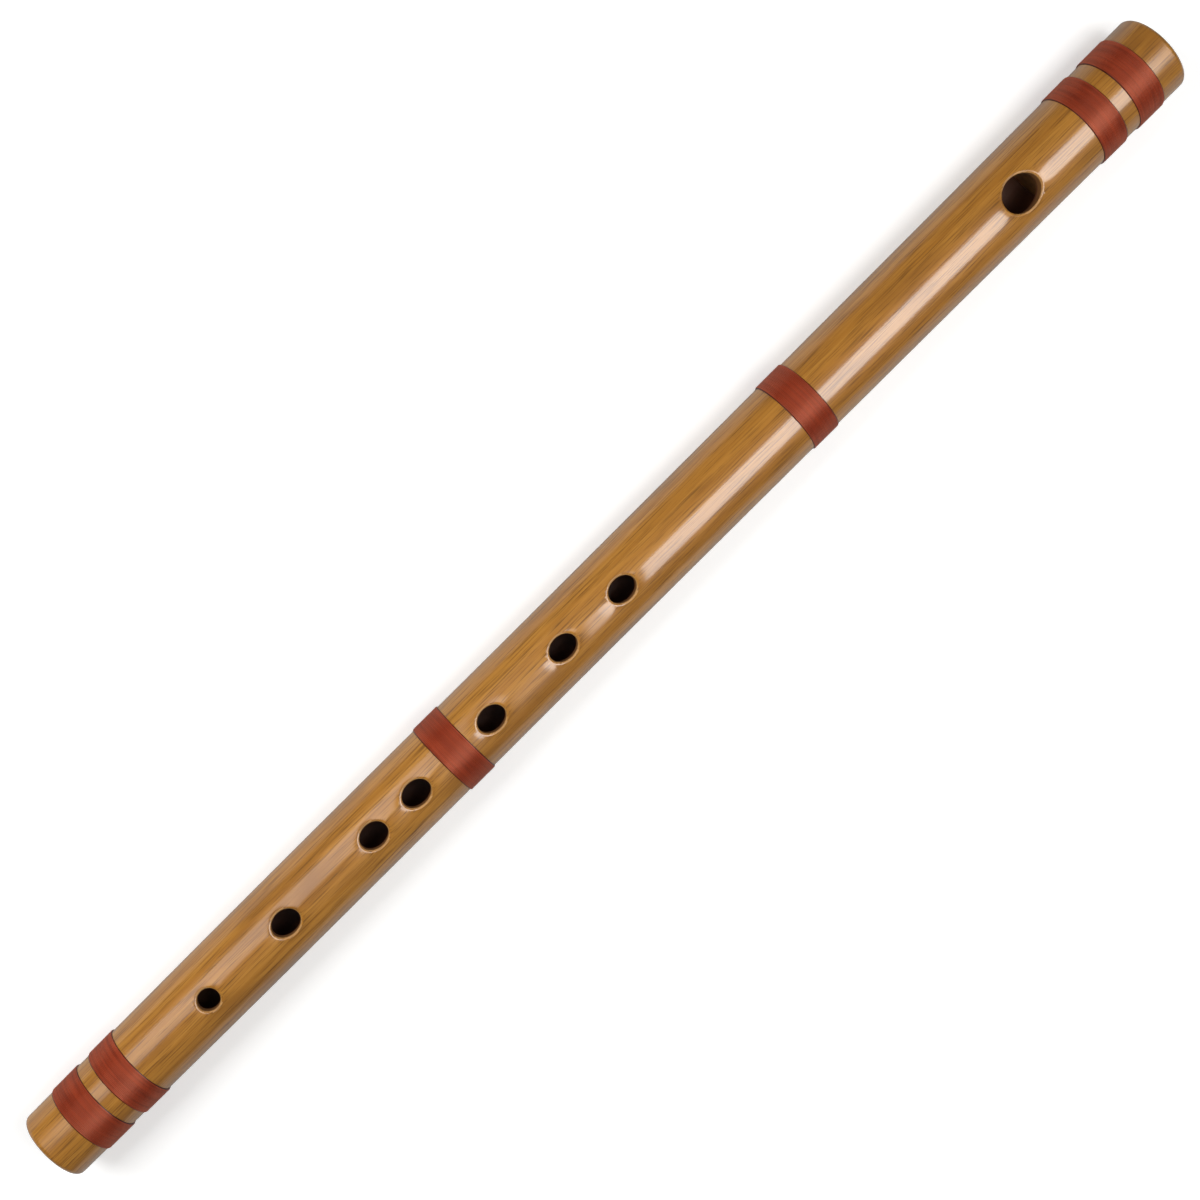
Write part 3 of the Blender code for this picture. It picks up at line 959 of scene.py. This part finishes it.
@dataclass(frozen=True)
class Softbox:
    """A rectangular lamp over the flute.

    Its place is given by where its middle is along the flute, and by its distance and its turn
    from straight above the flute, in degrees, with turns to +Y positive.
    """

    name: str
    lights: Lights
    along: float
    turn: float
    distance: float
    length: float
    width: float
    power: float

    def build(self, bore: Bore) -> None:
        """Place the lamp, facing the flute, its long side along it."""
        lamp = bpy.data.lights.new(self.name, "AREA")
        lamp.shape = "RECTANGLE"
        lamp.size = self.length
        lamp.size_y = self.width
        lamp.energy = self.power
        angle = math.radians(self.turn)
        outward = Vector((0.0, math.sin(angle), math.cos(angle)))
        side = Vector((1.0, 0.0, 0.0))
        place = bore.foot + bore.forward * self.along + outward * self.distance
        thing = bpy.data.objects.new(self.name, lamp)
        bpy.context.scene.collection.objects.link(thing)
        axes = Matrix((side, outward.cross(side), outward)).transposed().to_4x4()
        thing.matrix_world = Matrix.Translation(place) @ axes
        thing.visible_glossy = self.lights is Lights.SHINE
        thing.visible_diffuse = self.lights is Lights.COLOUR


@dataclass
class Studio:
    """The floor, the white surroundings, the lamps and the camera."""

    floor_size: float = 6.0
    floor_colour: int = 0xF4F4F3
    mirrored_floor: int = 0xA8A8A5
    floor_roughness: float = 0.9
    floor_glow: float = 0.3
    world_light: float = 0.2
    mirrored_world: float = 0.04
    camera_height: float = 575 * MM
    camera_along: float = 185.4 * MM
    camera_roll: float = math.radians(9.2)
    camera_tilt: float = math.radians(2.772)
    camera_shift: float = 0.5 * MM
    picture_turn: float = math.radians(44.875)
    lens: float = 61.59
    softboxes: tuple[Softbox, ...] = (
        Softbox("strip_shine", Lights.SHINE, 0.49, -21.0, 0.75, 0.5, 0.56, 3.7),
        Softbox("foot_shine", Lights.SHINE, -0.06, 27.0, 0.75, 0.36, 0.6, 1.0),
        Softbox("foot_light", Lights.COLOUR, -0.05, 42.0, 0.6, 0.4, 0.4, 3.1),
        Softbox("head_light", Lights.COLOUR, 0.4, -16.0, 0.5, 0.5, 0.3, 1.9),
    )

    def build(self, bore: Bore) -> None:
        """Build the whole studio."""
        self.build_floor()
        self.build_world()
        for softbox in self.softboxes:
            softbox.build(bore)
        self.build_camera(bore)

    def build_floor(self) -> None:
        """Lay a white floor that keeps the flute's shadow."""
        form = bmesh.new()
        bmesh.ops.create_grid(form, x_segments=1, y_segments=1, size=self.floor_size / 2)
        mesh = bpy.data.meshes.new("floor")
        form.to_mesh(mesh)
        form.free()
        material, tree, shader = new_surface("white_floor")
        rays = add_node(tree, "ShaderNodeLightPath", {}, {}).outputs
        plain, mirrored = linear(self.floor_colour), linear(self.mirrored_floor)
        colours = {"Factor": rays["Is Glossy Ray"], "A": plain, "B": mirrored}
        shown_colour = add_node(tree, "ShaderNodeMix", {"data_type": "RGBA"}, colours)
        outcome = next(socket for socket in shown_colour.outputs if socket.enabled)
        tree.links.new(outcome, shader.inputs["Base Color"])
        shader.inputs["Roughness"].default_value = self.floor_roughness
        shader.inputs["Specular IOR Level"].default_value = 0.0
        shader.inputs["Emission Color"].default_value = (1.0, 1.0, 1.0, 1.0)
        inputs = {"Value": rays["Is Camera Ray"], "Value_001": self.floor_glow}
        glow = add_node(tree, "ShaderNodeMath", {"operation": "MULTIPLY"}, inputs)
        tree.links.new(glow.outputs["Value"], shader.inputs["Emission Strength"])
        shown("floor", mesh, material)

    def build_world(self) -> None:
        """Light the scene evenly from all round, and show white where nothing else is."""
        world = bpy.data.worlds.new("white_surroundings")
        bpy.context.scene.world = world
        world.use_nodes = True
        tree = world.node_tree
        rays = add_node(tree, "ShaderNodeLightPath", {}, {}).outputs
        inputs = {"Factor": rays["Is Glossy Ray"], "A": self.world_light, "B": self.mirrored_world}
        lit = add_node(tree, "ShaderNodeMix", {}, inputs)
        seen = {"Value": rays["Is Camera Ray"], "Value_001": rays["Is Transmission Ray"]}
        white = add_node(tree, "ShaderNodeMath", {"operation": "MAXIMUM"}, seen)
        both = {"Value": lit.outputs["Result"], "Value_001": white.outputs["Value"]}
        strength = add_node(tree, "ShaderNodeMath", {"operation": "MAXIMUM"}, both)
        background = tree.nodes["Background"]
        background.inputs["Color"].default_value = (1.0, 1.0, 1.0, 1.0)
        tree.links.new(strength.outputs["Value"], background.inputs["Strength"])

    def build_camera(self, bore: Bore) -> None:
        """Place the camera as the photograph was taken, nearly straight above the flute."""
        across = Vector((0.0, 1.0, 0.0))
        outward = across * math.sin(self.camera_roll) + bore.up * math.cos(self.camera_roll)
        view = bore.forward * math.sin(self.camera_tilt) - outward * math.cos(self.camera_tilt)
        head_way = bore.forward * math.cos(self.camera_tilt) + outward * math.sin(self.camera_tilt)
        side_way = view.cross(head_way)
        right = head_way * math.cos(self.picture_turn) + side_way * math.sin(self.picture_turn)
        up = head_way * math.sin(self.picture_turn) - side_way * math.cos(self.picture_turn)
        place = bore.foot + bore.forward * self.camera_along + outward * self.camera_height
        place -= side_way * self.camera_shift
        camera = bpy.data.cameras.new("camera")
        camera.lens = self.lens
        camera.clip_start = 0.01
        thing = bpy.data.objects.new("camera", camera)
        bpy.context.scene.collection.objects.link(thing)
        thing.matrix_world = Matrix.Translation(place) @ Matrix((right, up, -view)).transposed().to_4x4()
        bpy.context.scene.camera = thing


@dataclass
class Shinobue:
    """The whole flute: the bamboo, its thread bindings and its stopper."""

    seats: tuple[tuple[str, float, float], ...] = (
        ("foot_end_binding", 10.9 * MM, 20.4 * MM),
        ("foot_inner_binding", 24.85 * MM, 33.85 * MM),
        ("hand_binding", 150.475 * MM, 159.925 * MM),
        ("upper_binding", 286.3 * MM, 295.9 * MM),
        ("head_inner_binding", 402.75 * MM, 412.05 * MM),
        ("head_end_binding", 417.2 * MM, 426.9 * MM),
    )

    def build(self, bore: Bore) -> None:
        """Build every piece on the bore's axis."""
        tube = BambooTube(seats=[(start, end) for _, start, end in self.seats])
        tube.build(bore, VarnishedBamboo().material(bore.slope), CutBamboo().material(bore.slope))
        winding = winding_tree()
        thread = LacqueredThread().material()
        # The bed's dark lacquer is a painted shadow line at each winding's edges.
        bed = LacquerBedShadowLine().material()
        for number, (node, start, end) in enumerate(self.seats):
            binding = ThreadBinding(node, start, end, tube.radius(start), tube.radius(end), seed=number)
            binding.build(bore, winding, thread, bed)
        Stopper().build(bore, Beeswax().material(), Cork().material())


def main() -> None:
    """Build the studio and the flute."""
    logging.basicConfig(level=logging.INFO, format="%(name)s: %(message)s")
    bpy.context.scene.view_settings.view_transform = "Standard"
    bore = Bore.of_tube(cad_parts["bamboo_tube"])
    log.info("bore %.2f mm long, slope %.3f degrees", bore.length / MM, math.degrees(bore.slope))
    Studio().build(bore)
    Shinobue().build(bore)
    bpy.context.view_layer.update()


if __name__ == "__main__":
    main()
